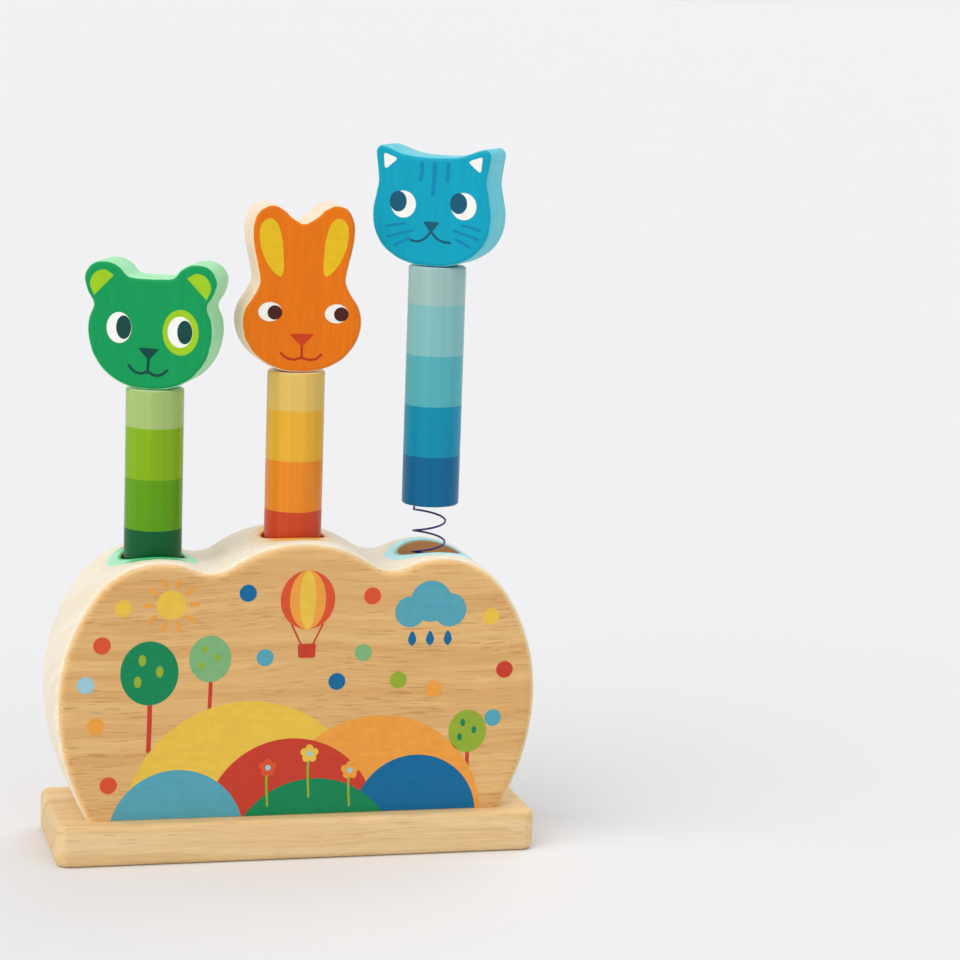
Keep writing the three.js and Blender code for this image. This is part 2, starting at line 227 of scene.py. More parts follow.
# Half outlines of the heads, from the middle of the brow round the ear to the chin. The first number
# is a share of half the head's width, the second a share of its height.
BEAR_OUTLINE_SHARES = (
    (0, 0.876), (0.254, 0.880), (0.340, 0.892), (0.455, 0.956), (0.648, 1), (0.883, 0.973),
    (1, 0.880), (0.961, 0.762), (0.861, 0.657), (0.930, 0.547), (0.945, 0.432), (0.867, 0.263),
    (0.688, 0.126), (0.449, 0.040), (0.200, 0.002),
)
RABBIT_OUTLINE_SHARES = (
    (0, 0.890), (0.182, 0.922), (0.338, 0.973), (0.519, 1), (0.727, 0.973), (0.844, 0.889),
    (0.840, 0.770), (0.762, 0.635), (0.727, 0.540), (0.805, 0.470), (0.952, 0.384), (1, 0.289),
    (0.918, 0.175), (0.706, 0.078), (0.455, 0.026), (0.210, 0.002),
)
CAT_OUTLINE_SHARES = (
    (0, 0.920), (0.313, 0.926), (0.563, 0.953), (0.762, 0.991), (0.895, 1), (0.962, 0.962),
    (0.946, 0.848), (0.917, 0.703), (0.954, 0.589), (1, 0.446), (0.967, 0.295), (0.825, 0.156),
    (0.583, 0.060), (0.354, 0.016), (0.160, 0.001),
)

# The painted faces: each shape's kind, its ink, its layer, and its places and sizes in millimetres from
# the middle of the chin. A round is a middle and two half sizes, a drop is a smooth loop, a slice is a
# smooth path whose ends are joined straight, a corner is a straight loop and the radius of its corners,
# and a line is a smooth path and its width.
BEAR_EAR = ((14.0, 42.2), (17.8, 44.1), (21.5, 42.6), (23.2, 38.9), (21.6, 34.4))
BEAR_FACE = (
    ("slice", "lime", 1, BEAR_EAR),
    ("slice", "lime", 1, mirrored(BEAR_EAR)),
    ("round", "lime", 1, (11.9, 21.9), (6.9, 8.5)),
    ("round", "white", 2, (-11.8, 22.7), (4.8, 5.8)),
    ("round", "white", 2, (11.7, 22.1), (4.8, 5.8)),
    ("round", "dark", 3, (-10.0, 22.9), (2.9, 4.4)),
    ("round", "dark", 3, (13.5, 22.1), (2.9, 4.4)),
    ("corner", "dark", 3, ((-4.4, 15.6), (3.9, 15.4), (-0.3, 10.9)), 0.5),
    ("line", "dark", 1, ((-0.3, 12.4), (-0.4, 9.4), (-0.6, 6.4)), 1.1),
    ("line", "dark", 2,
     ((-7.9, 8.8), (-5.9, 6.7), (-3.2, 5.9), (-0.6, 6.6), (2.0, 5.5), (4.7, 5.8), (6.9, 7.5)), 1),
)
RABBIT_EAR = (
    (13.2, 57.9), (16.3, 55.7), (17.0, 51.9), (16.1, 46.2), (13.6, 40.7), (10.6, 37.1),
    (8.6, 36.1), (7.6, 38.7), (7.8, 44.5), (8.5, 50.6), (10.4, 56.1),
)
RABBIT_FACE = (
    ("drop", "yellow", 1, RABBIT_EAR),
    ("drop", "yellow", 1, mirrored(RABBIT_EAR)),
    ("round", "white", 2, (-12.4, 22.9), (4.5, 3.6)),
    ("round", "white", 2, (13.1, 22.1), (4.5, 3.6)),
    ("round", "dark", 3, (-10.6, 22.6), (2.8, 2.7)),
    ("round", "dark", 3, (14.9, 21.9), (2.8, 2.7)),
    ("corner", "red", 3, ((-5.0, 14.6), (4.8, 14.5), (0, 9.6)), 0.5),
    ("line", "rust", 1, ((0, 10.4), (0, 7.8), (0, 5.3)), 0.9),
    ("line", "rust", 2,
     ((-8.0, 7.3), (-5.8, 5.5), (-3.0, 4.8), (0, 5.4), (3.0, 4.7), (5.7, 5.1), (7.6, 6.7)), 0.85),
)
CAT_EAR = ((19.8, 42.2), (13.9, 40.1), (19.2, 35.7))
CAT_FACE = (
    ("corner", "white", 1, mirrored(CAT_EAR), 0.9),
    ("corner", "white", 1, CAT_EAR, 0.9),
    ("line", "stripe", 1, ((-4.4, 38.7), (-4.2, 36.0), (-4.8, 32.6)), 1.5),
    ("line", "stripe", 1, ((0.8, 38.7), (0.8, 33.2), (0.4, 27.4)), 1.5),
    ("line", "stripe", 1, ((6.2, 38.7), (6.1, 36.1), (6.0, 32.7)), 1.5),
    ("round", "white", 2, (-11.3, 23.0), (5.0, 5.1)),
    ("round", "white", 2, (12.9, 23.3), (5.0, 5.1)),
    ("round", "dark", 3, (-13.4, 24.0), (3.4, 3.9)),
    ("round", "dark", 3, (10.8, 24.3), (3.4, 3.9)),
    ("corner", "dark", 3, ((-3.3, 16.9), (3.6, 16.9), (0.1, 12.6)), 0.5),
    ("line", "dark", 1, ((0.1, 13.2), (-2.4, 10.4), (-5.0, 9.3), (-7.9, 9.5)), 0.9),
    ("line", "dark", 2, ((0.1, 13.2), (2.6, 10.7), (5.2, 9.6), (7.9, 9.4)), 0.9),
    ("line", "stripe", 1, ((-17.9, 14.3), (-14.2, 15.2), (-10.6, 15.6)), 1),
    ("line", "stripe", 1, ((-17.5, 10.3), (-12.2, 12.0), (-7.4, 13.3)), 1),
    ("line", "stripe", 1, ((-14.2, 7.4), (-11.2, 9.0), (-8.3, 10.4)), 1),
    ("line", "stripe", 1, ((19.6, 14.5), (15.9, 15.6), (12.4, 16.1)), 1),
    ("line", "stripe", 1, ((18.8, 11.2), (13.7, 12.8), (8.9, 14.0)), 1),
    ("line", "stripe", 1, ((15.7, 8.1), (12.8, 9.6), (10.2, 10.8)), 1),
)

# Colours. The rounded edges take their largest share of gold halfway round, partly the cut wood's tone and
# partly a painted highlight, and bands run from the top.
WOOD_LIGHT, WOOD_MID, WOOD_DARK = "#E4BA7C", "#D8A76A", "#9C6230"
# The cream of the block's edges, top and ends is partly a paler cut of the wood and partly painted sheen,
# standing in for the light on those faces
EDGE_CREAM_AND_SHEEN_LIGHT, EDGE_CREAM_AND_SHEEN_MID = "#F6ECD8", "#F1E3CA"
EDGE_GOLD_AND_HIGHLIGHT, EDGE_GOLD_AND_HIGHLIGHT_SHARE = "#F3C379", 0.55
PLATE_LIGHT, PLATE_MID = "#EBCD9B", "#DFB980"
# Inside the bores: partly the bare wood's own warm tone, partly painted shade of the hollow
BORE_WOOD_AND_SHADE = "#E29A55"
DOWEL_LIGHT, DOWEL_MID = "#E9CFA2", "#DDBB86"
SPRING_BLUE = "#45457F"
SCREW_ZINC = "#C7C9CC"
PAPER_LIGHT, PAPER_MID = "#E7E7E9", "#E5E5E7"
BACKDROP = "#F0F0F2"
# Where a figure's "ring" differs from its "front_ring", the pale "ring" is the ring paint with painted sheen,
# shown at the bore's sides, and "front_ring" is the paint itself, shown in front and behind
FIGURES = {
    "bear": {
        "yaw": math.radians(-24), "width": 51.2 * MM, "height": 47.5 * MM,
        "outline": BEAR_OUTLINE_SHARES, "features": BEAR_FACE,
        "face": "#0C9A55", "side": "#A6EAB6", "end": "#D9EFC4",
        "ring": "#A5EFC8", "front_ring": "#1CC070", "lip": "#1CC070",
        # The top band's colour is the paint darkened a little as painted shadow of the head above it
        "bands": ("#A4BE72", "#82AE12", "#5C9A0C", "#035A2E", "#043C24"),
        "inks": {"lime": "#9ECC20", "white": "#F7F7F2", "dark": "#0E4642"},
    },
    "rabbit": {
        "yaw": 0, "width": 46.2 * MM, "height": 63 * MM,
        "outline": RABBIT_OUTLINE_SHARES, "features": RABBIT_FACE,
        "face": "#EC780C", "side": "#FFE3C4", "end": "#F8E3BC",
        "ring": "#F8E0B6", "front_ring": "#F3B233", "lip": "#F1B63C",
        "bands": ("#E3BD62", "#E9AF34", "#EA8A24", "#CC4725", "#B43218"),
        "inks": {"yellow": "#ECC01F", "white": "#F9F6EE", "dark": "#4A1F1B",
                 "red": "#D23F19", "rust": "#B4361B"},
    },
    "cat": {
        "yaw": math.radians(-34), "width": 48 * MM, "height": 44.8 * MM,
        "outline": CAT_OUTLINE_SHARES, "features": CAT_FACE,
        "face": "#02A2C0", "side": "#66CCDC", "end": "#C9E6E5",
        "ring": "#B2ECF4", "front_ring": "#B2ECF4", "lip": "#74C4BC",
        "bands": ("#9DBEBA", "#80BCBF", "#54AEB8", "#018DAF", "#016593"),
        "inks": {"white": "#F7F7F4", "dark": "#155873", "stripe": "#0586B6"},
    },
}

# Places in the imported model, and the sizes of the holes
spring_floors = {
    deformed["node"]: deformed["fixed_end_z_m"]
    for joint in frame["joints"] for deformed in joint.get("deforming_nodes", [])
}
plate_low, plate_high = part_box("base_plate")
block_low, block_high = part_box("block")
bore_radius = PEG_RADIUS + BORE_GAP
wire_hole = WIRE_RADIUS + FIT_GAP
dowel_hole = DOWEL_RADIUS + FIT_GAP
dowel_hole_depth = DOWEL_LENGTH / 2 + FIT_GAP
pilot_hole = SCREW_SHANK_RADIUS + FIT_GAP
side_lobe_height = plate_high.z + CHEEK_HEIGHT + SIDE_LOBE_RISE
middle_lobe_height = plate_high.z + CHEEK_HEIGHT + MIDDLE_LOBE_RISE
screws = [f"base_screw_{number}" for number in (1, 2, 3, 4)]


def middle_x(name):
    """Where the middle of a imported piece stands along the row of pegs."""
    low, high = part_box(name)
    return (low.x + high.x) / 2


# Helpers for outlines, as lists of (across, up)

def on_circle(centre, radius, angle):
    return (centre[0] + radius * math.cos(angle), centre[1] + radius * math.sin(angle))


def arc(centre, radius, start, end, steps):
    return [on_circle(centre, radius, start + (end - start) * i / steps) for i in range(steps + 1)]


def fine_arc(centre, radius, start, end):
    return arc(centre, radius, start, end, max(4, math.ceil(abs(end - start) / ARC_STEP)))


def angle_to(start, end):
    return math.atan2(end[1] - start[1], end[0] - start[0])


def oval(centre, half_sizes, steps=OVAL_STEPS):
    turns = [2 * math.pi * i / steps for i in range(steps)]
    return [(centre[0] + half_sizes[0] * math.cos(a), centre[1] + half_sizes[1] * math.sin(a)) for a in turns]


def circle(centre, radius, steps=OVAL_STEPS):
    return oval(centre, (radius, radius), steps)


def spline(points, closed, steps):
    """A smooth curve through some points, without loops between them."""
    count = len(points)
    at = [Vector(point) for point in points]
    made = []
    for i in range(count if closed else count - 1):
        p1, p2 = at[i], at[(i + 1) % count]
        p0 = at[i - 1] if closed or i > 0 else p1 + (p1 - p2)
        p3 = at[(i + 2) % count] if closed or i + 2 < count else p2 + (p2 - p1)
        d0, d1, d2 = ((b - a).length ** 0.5 for a, b in ((p0, p1), (p1, p2), (p2, p3)))
        out = ((p1 - p0) / d0 - (p2 - p0) / (d0 + d1) + (p2 - p1) / d1) * d1
        into = ((p2 - p1) / d1 - (p3 - p1) / (d1 + d2) + (p3 - p2) / d2) * d1
        for k in range(steps):
            t = k / steps
            made.append(tuple(
                p1 * (2 * t**3 - 3 * t**2 + 1) + out * (t**3 - 2 * t**2 + t)
                + p2 * (3 * t**2 - 2 * t**3) + into * (t**3 - t**2)
            ))
    if not closed:
        made.append(tuple(points[-1]))
    return made


def outward(points):
    """The way out of a loop at each of its points, for a loop that runs anticlockwise."""
    count = len(points)
    ways = []
    for i in range(count):
        before = Vector(points[i]) - Vector(points[i - 1])
        after = Vector(points[(i + 1) % count]) - Vector(points[i])
        way = Vector((before.y, -before.x)).normalized() + Vector((after.y, -after.x)).normalized()
        ways.append(way.normalized())
    return ways


def rounded(corners, radius):
    """A loop of straight sides whose corners are rounded."""
    made = []
    count = len(corners)
    for i in range(count):
        corner, before, after = (Vector(corners[k % count]) for k in (i, i - 1, i + 1))
        back, on = (before - corner).normalized(), (after - corner).normalized()
        half = back.angle(on) / 2
        start, end = corner + back * radius / math.tan(half), corner + on * radius / math.tan(half)
        for k in range(CORNER_STEPS + 1):
            t = k / CORNER_STEPS
            made.append(tuple(start * (1 - t)**2 + corner * 2 * t * (1 - t) + end * t**2))
    return made


def stroke(points, width, steps=STROKE_STEPS):
    """The outline of a brush stroke with round ends along a smooth path."""
    path = [Vector(point) for point in spline(points, False, steps)]
    ways = [(path[min(i + 1, len(path) - 1)] - path[max(i - 1, 0)]).normalized() for i in range(len(path))]
    sides = [Vector((-way.y, way.x)) * width / 2 for way in ways]
    ends = []
    for point, way in ((path[-1], ways[-1]), (path[0], -ways[0])):
        start = angle_to((0, 0), (way.y, -way.x))
        ends.append(arc(point, width / 2, start, start + math.pi, STROKE_END_STEPS)[1:-1])
    right = [tuple(point - side) for point, side in zip(path, sides)]
    left = [tuple(point + side) for point, side in zip(path, sides)]
    return right + ends[0] + left[::-1] + ends[1]


def block_outline(drop):
    """Arcs that run on smoothly into each other, from the foot on the right to the foot on the left."""
    foot_z = plate_high.z
    cheek = PEG_PITCH + SIDE_LOBE_RADIUS + CHEEK_BULGE
    reach = CHEEK_BULGE + SIDE_LOBE_RADIUS
    shoulder_radius = (reach**2 + SIDE_LOBE_RISE**2 - SIDE_LOBE_RADIUS**2) / (2 * CHEEK_BULGE)
    flank_radius = (FOOT_INSET**2 + CHEEK_HEIGHT**2) / (2 * FOOT_INSET)
    flank = (cheek - flank_radius, foot_z + CHEEK_HEIGHT)
    shoulder = (cheek - shoulder_radius, foot_z + CHEEK_HEIGHT)
    side, middle = (PEG_PITCH, side_lobe_height), (0, middle_lobe_height)
    apart = math.dist(middle, side)
    to_middle, to_side = MIDDLE_LOBE_RADIUS + VALLEY_RADIUS, SIDE_LOBE_RADIUS + VALLEY_RADIUS
    along = (to_middle**2 - to_side**2 + apart**2) / (2 * apart)
    across = math.sqrt(to_middle**2 - along**2)
    way = ((side[0] - middle[0]) / apart, (side[1] - middle[1]) / apart)
    valley = (middle[0] + way[0] * along - way[1] * across, middle[1] + way[1] * along + way[0] * across)
    lowest = -math.asin((CHEEK_HEIGHT + drop) / flank_radius)
    shoulder_end = angle_to(shoulder, side)
    right = (
        fine_arc(flank, flank_radius, lowest, 0)
        + fine_arc(shoulder, shoulder_radius, 0, shoulder_end)[1:]
        + fine_arc(side, SIDE_LOBE_RADIUS, shoulder_end, angle_to(side, valley))[1:]
        + fine_arc(valley, VALLEY_RADIUS, angle_to(valley, side), angle_to(valley, middle))[1:]
        + fine_arc(middle, MIDDLE_LOBE_RADIUS, angle_to(middle, valley), math.pi / 2)[1:]
    )
    return right + mirrored(right[:-1])[::-1]


# Helpers for meshes

def finish_mesh(bm, name, materials, sharp=SHARP_ANGLE):
    """A new object from a closed bmesh, smooth except where its faces meet at a sharp angle."""
    bmesh.ops.recalc_face_normals(bm, faces=bm.faces)
    mesh = bpy.data.meshes.new(name)
    bm.to_mesh(mesh)
    bm.free()
    for material in materials:
        mesh.materials.append(material)
    mesh.shade_smooth()
    mesh.set_sharp_from_angle(angle=sharp)
    made = bpy.data.objects.new(name, mesh)
    bpy.context.scene.collection.objects.link(made)
    return made


def skin(bm, rings):
    """Joins rings of corners into a closed skin, with flat caps on the first and the last ring."""
    loops = [[bm.verts.new(corner) for corner in ring] for ring in rings]
    faces = []
    for lower, upper in zip(loops, loops[1:]):
        for i in range(len(lower)):
            j = (i + 1) % len(lower)
            faces.append(bm.faces.new((lower[i], lower[j], upper[j], upper[i])))
    return faces + [bm.faces.new(loops[0][::-1]), bm.faces.new(loops[-1])]


def slab(outline, low, high, edge, steps, put):
    """A board of an outline between two faces, its edges rounded. put turns across, up and deep into a
    point."""
    bm = bmesh.new()
    ways = outward(outline)
    profile = [(edge + FLAT_RIM_SHARE * edge, low)]
    for i in range(steps + 1):
        turn = math.pi / 2 * i / steps
        profile.append((edge * (1 - math.sin(turn)), low + edge * (1 - math.cos(turn))))
    profile += [(inset, low + high - deep) for inset, deep in reversed(profile)]
    skin(bm, [
        [put(point[0] - way.x * inset, point[1] - way.y * inset, deep) for point, way in zip(outline, ways)]
        for inset, deep in profile
    ])
    return bm


def cut_flat(bm, height):
    """Takes away everything below a height and closes the cut."""
    geometry = bm.verts[:] + bm.edges[:] + bm.faces[:]
    bmesh.ops.bisect_plane(bm, geom=geometry, plane_co=(0, 0, height), plane_no=(0, 0, 1), clear_inner=True)
    bmesh.ops.edgeloop_fill(bm, edges=[edge for edge in bm.edges if edge.is_boundary])


def turned(bm, profile, sides, centre=(0, 0)):
    """Adds a closed solid of revolution about an upright axis, from its radii and heights."""
    skin(bm, [
        [(across, deep, height) for across, deep in circle(centre, radius, sides)]
        for radius, height in profile
    ])


def subtract(piece, bm):
    """Cuts the closed shapes in a bmesh out of a piece."""
    cutter = finish_mesh(bm, "cutter", piece.data.materials)
    modifier = piece.modifiers.new("cut", "BOOLEAN")
    modifier.operation = "DIFFERENCE"
    modifier.solver = "EXACT"
    modifier.object = cutter
    bpy.context.view_layer.update()
    seen = piece.evaluated_get(bpy.context.evaluated_depsgraph_get())
    mesh = bpy.data.meshes.new_from_object(seen)
    piece.modifiers.clear()
    piece.data = mesh
    mesh.name = piece.name
    mesh.shade_smooth()
    mesh.set_sharp_from_angle(angle=SHARP_ANGLE)
    bpy.data.objects.remove(cutter)


def ink(bm, outline, front, layer, slot):
    """A flat painted shape just proud of a face that looks towards -Y. Higher layers lie on lower ones."""
    back = [(across, front + INK_DEPTH, up) for across, up in outline]
    face = [(across, front - INK_STEP * (layer + 1), up) for across, up in outline]
    for made in skin(bm, (back, face)):
        made.material_index = slot


def finish_inks(bm, name, prefix, inks):
    """A new object from inked shapes, with a material for each ink."""
    return finish_mesh(bm, name, [ink_material(f"{prefix}_{key}", code) for key, code in inks.items()])


# Helpers for materials

def linear(code):
    """A colour as Blender's nodes hold it, from its code."""
    parts = [int(code[i:i + 2], 16) / 255 for i in (1, 3, 5)]
    return tuple(c / 12.92 if c <= 0.04045 else ((c + 0.055) / 1.055) ** 2.4 for c in parts) + (1,)


def darker(code, share):
    """A colour whose parts are a share of another's."""
    return tuple(part * share for part in linear(code)[:3]) + (1,)


def node(tree, kind, inputs=None, **settings):
    """A shader node whose inputs are numbers, colours, their codes or other nodes' outputs."""
    made = tree.nodes.new("ShaderNode" + kind)
    for name, value in settings.items():
        setattr(made, name, value)
    for key, value in (inputs or {}).items():
        if isinstance(value, bpy.types.NodeSocket):
            tree.links.new(value, made.inputs[key])
        else:
            made.inputs[key].default_value = linear(value) if isinstance(value, str) else value
    return made


def maths(tree, operation, first, second=0.0):
    return node(tree, "Math", {0: first, 1: second}, operation=operation).outputs[0]


def mixed(tree, share, first, second, blend="MIX"):
    return node(tree, "Mix", {0: share, 6: first, 7: second}, data_type="RGBA", blend_type=blend).outputs[2]


def spread(tree, value, low, high, to_low=0.0, to_high=1.0):
    """A value's smooth step between two limits."""
    inputs = {0: value, 1: low, 2: high, 3: to_low, 4: to_high}
    return node(tree, "MapRange", inputs, interpolation_type="SMOOTHSTEP").outputs[0]


def noise(tree, where, stretch, detail, roughness=0.5):
    """Noise with its own number of waves to the metre along each axis."""
    scaled = node(tree, "Mapping", {"Vector": where, "Scale": stretch}).outputs[0]
    inputs = {"Vector": scaled, "Scale": 1.0, "Detail": detail, "Roughness": roughness}
    return node(tree, "TexNoise", inputs).outputs[0]


def waver(tree, where, stretch, detail, amount):
    """Noise that goes as far below zero as above it, in metres."""
    level = maths(tree, "SUBTRACT", noise(tree, where, stretch, detail), 0.5)
    return maths(tree, "MULTIPLY", level, amount)


def part_of(tree, vector, axis):
    return node(tree, "SeparateXYZ", {0: vector}).outputs[axis]


def size_of(tree, vector, axis):
    """The size of a vector's part along an axis."""
    return maths(tree, "ABSOLUTE", part_of(tree, vector, axis))


def stretched(tree, vector, factors):
    return node(tree, "VectorMath", {0: vector, 1: factors}, operation="MULTIPLY").outputs[0]


def distance_to(tree, vector, point):
    return node(tree, "VectorMath", {0: vector, 1: point}, operation="DISTANCE").outputs["Value"]


def shaded(tree, colour, value, shades, limits=(0.2, 0.8)):
    """A colour made darker where a value is low and lighter where it is high."""
    level = spread(tree, value, *limits, *shades)
    grey = node(tree, "CombineColor", {0: level, 1: level, 2: level}).outputs[0]
    return mixed(tree, 1.0, colour, grey, "MULTIPLY")


def surface(name, roughness, metallic=0.0, coat=0.0, shine=0.15):
    """A new material and its tree, and the places and normals on its object."""
    material = bpy.data.materials.new(name)
    material.use_nodes = True
    tree = material.node_tree
    shader = tree.nodes["Principled BSDF"]
    shader.inputs["Roughness"].default_value = roughness
    shader.inputs["Metallic"].default_value = metallic
    shader.inputs["Specular IOR Level"].default_value = shine
    shader.inputs["Coat Weight"].default_value = coat
    shader.inputs["Coat Roughness"].default_value = 0.2
    coordinates = node(tree, "TexCoord")
    return material, tree, coordinates.outputs["Object"], coordinates.outputs["Normal"]


def finished(material, colour, where, gloss, height, relief, waves=GLOSS_WAVES):
    """The material with its colour, its uneven gloss and the relief of a height."""
    tree = material.node_tree
    inputs = tree.nodes["Principled BSDF"].inputs
    level = spread(tree, noise(tree, where, waves, 3), *NOISE_LIMITS, *gloss)
    bump = node(tree, "Bump", {"Height": height, "Distance": relief[0], "Strength": relief[1]})
    tree.links.new(colour, inputs["Base Color"])
    tree.links.new(level, inputs["Roughness"])
    tree.links.new(bump.outputs[0], inputs["Normal"])
    return material


def grain(tree, where, fineness, along):
    """Year rings, fibres and short dark pores of wood whose grain runs along one axis."""
    def stretch(long, across):
        return tuple(long if axis == along else across for axis in range(3))

    ring_waves, fibre_waves, pore_waves = (
        (long * fineness, across * fineness) for long, across in (RING_WAVES, FIBRE_WAVES, PORE_WAVES)
    )
    sway = waver(tree, where, stretch(*SWAY_WAVES), 1, GRAIN_SWAY)
    shift = node(tree, "CombineXYZ", {axis: sway for axis in range(3) if axis != along}).outputs[0]
    bent = node(tree, "VectorMath", {0: where, 1: shift}, operation="ADD").outputs[0]
    ring = distance_to(tree, stretched(tree, bent, stretch(0, 1)), stretch(0, -PITH_DISTANCE))
    rings = node(tree, "CombineXYZ", {0: part_of(tree, bent, along), 1: ring}).outputs[0]
    streaks = spread(tree, noise(tree, rings, ring_waves + (1,), 4, 0.6), 0.32, 0.68)
    fibres = noise(tree, bent, stretch(*fibre_waves), 2)
    dashes = spread(tree, noise(tree, bent, stretch(*pore_waves), 1), 0.57, 0.68)
    patches = spread(tree, noise(tree, where, stretch(*PATCH_WAVES), 2), 0.38, 0.6, 0.25, 1)
    return streaks, fibres, maths(tree, "MULTIPLY", dashes, patches)


def grain_height(tree, fibres, pores):
    """Shallow fibres with the pores cut into them."""
    return maths(tree, "SUBTRACT", maths(tree, "MULTIPLY", fibres, 0.4), pores)


# Materials

def block_material():
    """Lacquered light wood: tan on the sawn front and back, cream round the edges (paler wood and painted
    sheen), with painted rings.
    """
    material, tree, where, normal = surface("block_wood", 0.4)
    streaks, fibres, pores = grain(tree, where, 1, 0)
    sawn = spread(tree, size_of(tree, normal, 1), 0.55, 0.99)
    not_sawn = maths(tree, "SUBTRACT", 1.0, sawn)
    front = mixed(tree, streaks, WOOD_LIGHT, WOOD_MID)
    # Cream round the edges, top and ends: partly the paler wood there, partly painted sheen
    edges = mixed(tree, streaks, EDGE_CREAM_AND_SHEEN_LIGHT, EDGE_CREAM_AND_SHEEN_MID)
    colour = mixed(tree, sawn, edges, front)
    # A golden line halfway round the rounded edges: partly the wood's tone there, partly a painted highlight
    rim = maths(tree, "MULTIPLY", maths(tree, "MULTIPLY", sawn, not_sawn), 4 * EDGE_GOLD_AND_HIGHLIGHT_SHARE)
    colour = mixed(tree, rim, colour, EDGE_GOLD_AND_HIGHLIGHT)
    pore_strength = spread(tree, sawn, 0, 1, 0.12, 0.36)
    colour = mixed(tree, maths(tree, "MULTIPLY", pores, pore_strength), colour, WOOD_DARK)
    colour = shaded(tree, colour, fibres, BLOCK_SHADES)
    flat = stretched(tree, where, (1, 1, 0))
    forward = size_of(tree, where, 1)
    wobble = waver(tree, where, RING_EDGE_WAVES, 3, RING_WAVER)
    ring_rim = bore_radius + RING_WIDTH
    for name, figure in FIGURES.items():
        away = distance_to(tree, flat, (middle_x(f"{name}_peg"), 0, 0))
        edge = maths(tree, "ADD", away, wobble)
        ring = spread(tree, edge, ring_rim + RING_FADE[0], ring_rim + RING_FADE[1], RING_COVER, 0)
        ring = maths(tree, "MULTIPLY", ring, not_sawn)
        # The ring keeps its own paint in front of and behind the peg and turns pale towards the sides as
        # painted sheen
        before = spread(tree, maths(tree, "DIVIDE", forward, away), 0.5, 0.94)
        ring_paint_and_sheen = mixed(tree, before, figure["ring"], figure["front_ring"])
        colour = mixed(tree, ring, colour, ring_paint_and_sheen)
        lip = spread(tree, edge, bore_radius + BORE_LIP, bore_radius + 2 * BORE_LIP, RING_COVER, 0)
        colour = mixed(tree, lip, colour, figure["lip"])
        # Warm brown inside each bore: partly the bare wood, partly painted shade of the hollow
        bore_wood_and_shade = spread(tree, away, bore_radius + BORE_FADE[0], bore_radius + BORE_FADE[1], BORE_COVER, 0)
        colour = mixed(tree, bore_wood_and_shade, colour, BORE_WOOD_AND_SHADE)
    return finished(material, colour, where, BLOCK_GLOSS, grain_height(tree, fibres, pores), WOOD_RELIEF)


def wood_material(name, light, mid, along, fineness=1):
    """Plain light wood with its grain along one axis."""
    material, tree, where, _ = surface(name, 0.45)
    streaks, fibres, pores = grain(tree, where, fineness, along)
    colour = mixed(tree, streaks, light, mid)
    colour = mixed(tree, maths(tree, "MULTIPLY", pores, 0.2), colour, WOOD_DARK)
    colour = shaded(tree, colour, fibres, WOOD_SHADES)
    return finished(material, colour, where, WOOD_GLOSS, grain_height(tree, fibres, pores), WOOD_RELIEF)


def head_material(name, figure):
    """Paint on the two flat faces of a head and a pale stain round its side, over upright grain."""
    material, tree, where, _ = surface(f"{name}_head_paint", 0.45)
    streaks, fibres, pores = grain(tree, where, 1.3, 2)
    wobble = waver(tree, where, HEAD_EDGE_WAVES, 3, HEAD_PAINT_WAVER)
    deep = maths(tree, "ADD", size_of(tree, where, 1), wobble)
    border = HEAD_THICKNESS / 2 - HEAD_PAINT_INSET
    painted = spread(tree, deep, border - HEAD_PAINT_FADE, border + HEAD_PAINT_FADE)
    face, side = figure["face"], figure["side"]
    streak_strength = maths(tree, "MULTIPLY", streaks, 0.5)
    paint = mixed(tree, streak_strength, face, darker(face, 0.86))
    paint = mixed(tree, maths(tree, "MULTIPLY", pores, 0.16), paint, darker(face, 0.6))
    stain = mixed(tree, streak_strength, side, darker(side, 0.85))
    colour = shaded(tree, mixed(tree, painted, stain, paint), fibres, HEAD_SHADES)
    return finished(material, colour, where, WOOD_GLOSS, maths(tree, "ADD", fibres, streaks), HEAD_RELIEF)


def ink_material(name, code):
    """Printed or brushed paint: slightly mottled, over the faint grain of the wood below."""
    material, tree, where, _ = surface(name, 0.45)
    mottle = spread(tree, noise(tree, where, MOTTLE_WAVES, 4), *NOISE_LIMITS, 0.0, 0.5)
    fibres = noise(tree, where, STREAK_WAVES, 2)
    colour = shaded(tree, mixed(tree, mottle, code, darker(code, 0.88)), fibres, INK_SHADES)
    return finished(material, colour, where, INK_GLOSS, fibres, INK_RELIEF)


def peg_material(name, figure, length):
    """Glossy paint in bands down a peg, with pale ends. The bands' edges waver a little."""
    material, tree, where, normal = surface(f"{name}_peg_paint", 0.3, coat=0.12, shine=0.12)
    wobble = waver(tree, where, BAND_EDGE_WAVES, 2, BAND_WAVER)
    height = maths(tree, "ADD", part_of(tree, where, 2), wobble)
    ramp = node(tree, "ValToRGB", {0: maths(tree, "DIVIDE", height, length)})
    ramp.color_ramp.interpolation = "CONSTANT"
    band = (length - TOP_BAND) / LOWER_BANDS
    stops = ramp.color_ramp.elements
    for i, code in enumerate(reversed(figure["bands"])):
        stop = stops[i] if i < 2 else stops.new(1)
        stop.position = i * band / length
        stop.color = linear(code)
    streaks = noise(tree, where, BRUSH_WAVES, 1)
    colour = shaded(tree, ramp.outputs[0], streaks, PEG_SHADES, (0.25, 0.75))
    end = spread(tree, size_of(tree, normal, 2), 0.75, 0.97)
    colour = mixed(tree, end, colour, figure["end"])
    return finished(material, colour, where, PEG_GLOSS, streaks, PEG_RELIEF)


